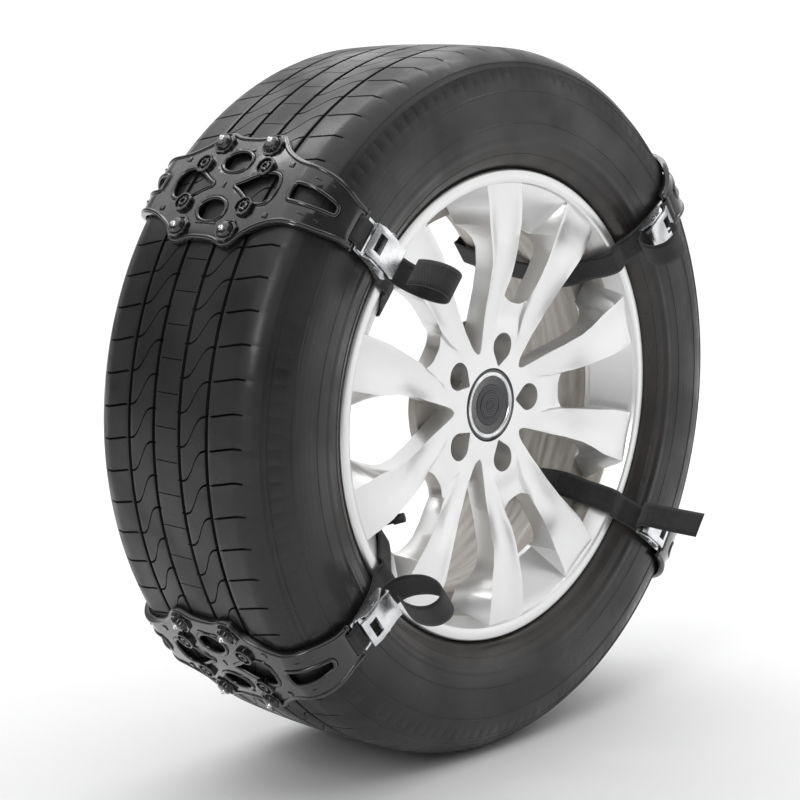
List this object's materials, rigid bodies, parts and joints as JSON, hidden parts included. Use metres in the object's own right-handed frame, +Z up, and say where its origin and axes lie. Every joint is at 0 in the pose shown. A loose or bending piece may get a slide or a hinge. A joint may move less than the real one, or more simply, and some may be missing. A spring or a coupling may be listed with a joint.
{
  "type": "tyre with strap-on snow grip pads",
  "caption": "Car wheel and tyre with glossy strap-on snow grip pads across the tread, each held by webbing through the rim and a metal cam buckle.",
  "frame": {"origin": "centre of the hub seat, the face that meets the car's hub, on the axle", "axes": "+Z up, +Y inboard along the axle, so the street side with the buckles faces -Y"},
  "size_m": [0.664, 0.3093, 0.6624],
  "materials": {
    "tyre_rubber": "moulded tread and matt sidewall",
    "alloy": "bright silver lacquer",
    "cap_plastic": "dark gloss",
    "valve_rubber": "matt black",
    "valve_cap_plastic": "matt black",
    "pad_plastic": "glossy moulded thermoplastic",
    "webbing": "woven black webbing",
    "buckle_steel": "bright plated steel",
    "pin_steel": "plated steel",
    "stud_steel": "bright steel"
  },
  "bodies": {
    "wheel": {"tyre": "tyre_rubber", "rim_barrel": "alloy", "hub": "alloy", "spoke_01": "alloy", "spoke_02": "alloy", "spoke_03": "alloy", "spoke_04": "alloy", "spoke_05": "alloy", "spoke_06": "alloy", "spoke_07": "alloy", "spoke_08": "alloy", "spoke_09": "alloy", "spoke_10": "alloy", "valve_stem": "valve_rubber", "tread_pad_upper_right": "pad_plastic", "anchor_strap_upper_right": "webbing", "tension_strap_upper_right": "webbing", "buckle_frame_upper_right": "buckle_steel", "lever_pin_upper_right": "pin_steel", "lever_spring_upper_right": "pin_steel", "stud_1_upper_right": "stud_steel", "stud_2_upper_right": "stud_steel", "stud_3_upper_right": "stud_steel", "stud_4_upper_right": "stud_steel", "tread_pad_upper_left": "pad_plastic", "anchor_strap_upper_left": "webbing", "tension_strap_upper_left": "webbing", "buckle_frame_upper_left": "buckle_steel", "lever_pin_upper_left": "pin_steel", "lever_spring_upper_left": "pin_steel", "stud_1_upper_left": "stud_steel", "stud_2_upper_left": "stud_steel", "stud_3_upper_left": "stud_steel", "stud_4_upper_left": "stud_steel", "tread_pad_lower_left": "pad_plastic", "anchor_strap_lower_left": "webbing", "tension_strap_lower_left": "webbing", "buckle_frame_lower_left": "buckle_steel", "lever_pin_lower_left": "pin_steel", "lever_spring_lower_left": "pin_steel", "stud_1_lower_left": "stud_steel", "stud_2_lower_left": "stud_steel", "stud_3_lower_left": "stud_steel", "stud_4_lower_left": "stud_steel", "tread_pad_lower_right": "pad_plastic", "anchor_strap_lower_right": "webbing", "tension_strap_lower_right": "webbing", "buckle_frame_lower_right": "buckle_steel", "lever_pin_lower_right": "pin_steel", "lever_spring_lower_right": "pin_steel", "stud_1_lower_right": "stud_steel", "stud_2_lower_right": "stud_steel", "stud_3_lower_right": "stud_steel", "stud_4_lower_right": "stud_steel"},
    "lever_upper_right": {"cam_lever_upper_right": "buckle_steel"},
    "lever_upper_left": {"cam_lever_upper_left": "buckle_steel"},
    "lever_lower_left": {"cam_lever_lower_left": "buckle_steel"},
    "lever_lower_right": {"cam_lever_lower_right": "buckle_steel"},
    "centre_cap": {"centre_cap": "cap_plastic"},
    "valve_cap": {"valve_cap": "valve_cap_plastic"}
  },
  "joints": [
    {"name": "lever_hinge_upper_right", "type": "hinge", "parent": "wheel", "child": "lever_upper_right", "pos_m": [0.20206, -0.0831, 0.15226], "axis": [0.6018, 0, -0.7986], "range_deg": [0, 12], "stiffness_Nm_per_rad": 0.05, "springref_deg": -28.65},
    {"name": "lever_hinge_upper_left", "type": "hinge", "parent": "wheel", "child": "lever_upper_left", "pos_m": [-0.19578, -0.0831, 0.16024], "axis": [0.6334, 0, 0.7738], "range_deg": [0, 12], "stiffness_Nm_per_rad": 0.05, "springref_deg": -28.65},
    {"name": "lever_hinge_lower_left", "type": "hinge", "parent": "wheel", "child": "lever_lower_left", "pos_m": [-0.20125, -0.0831, -0.15332], "axis": [-0.606, 0, 0.7955], "range_deg": [0, 12], "stiffness_Nm_per_rad": 0.05, "springref_deg": -28.65},
    {"name": "lever_hinge_lower_right", "type": "hinge", "parent": "wheel", "child": "lever_lower_right", "pos_m": [0.20725, -0.0831, -0.14511], "axis": [-0.5736, 0, -0.8192], "range_deg": [0, 12], "stiffness_Nm_per_rad": 0.05, "springref_deg": -28.65},
    {"name": "centre_cap_pull", "type": "slide", "parent": "wheel", "child": "centre_cap", "axis": [0, -1, 0], "range_m": [0, 0.03]},
    {"name": "valve_cap_pull", "type": "slide", "parent": "wheel", "child": "valve_cap", "axis": [0.4942, -0.8192, 0.2911], "range_m": [0, 0.012]}
  ]
}
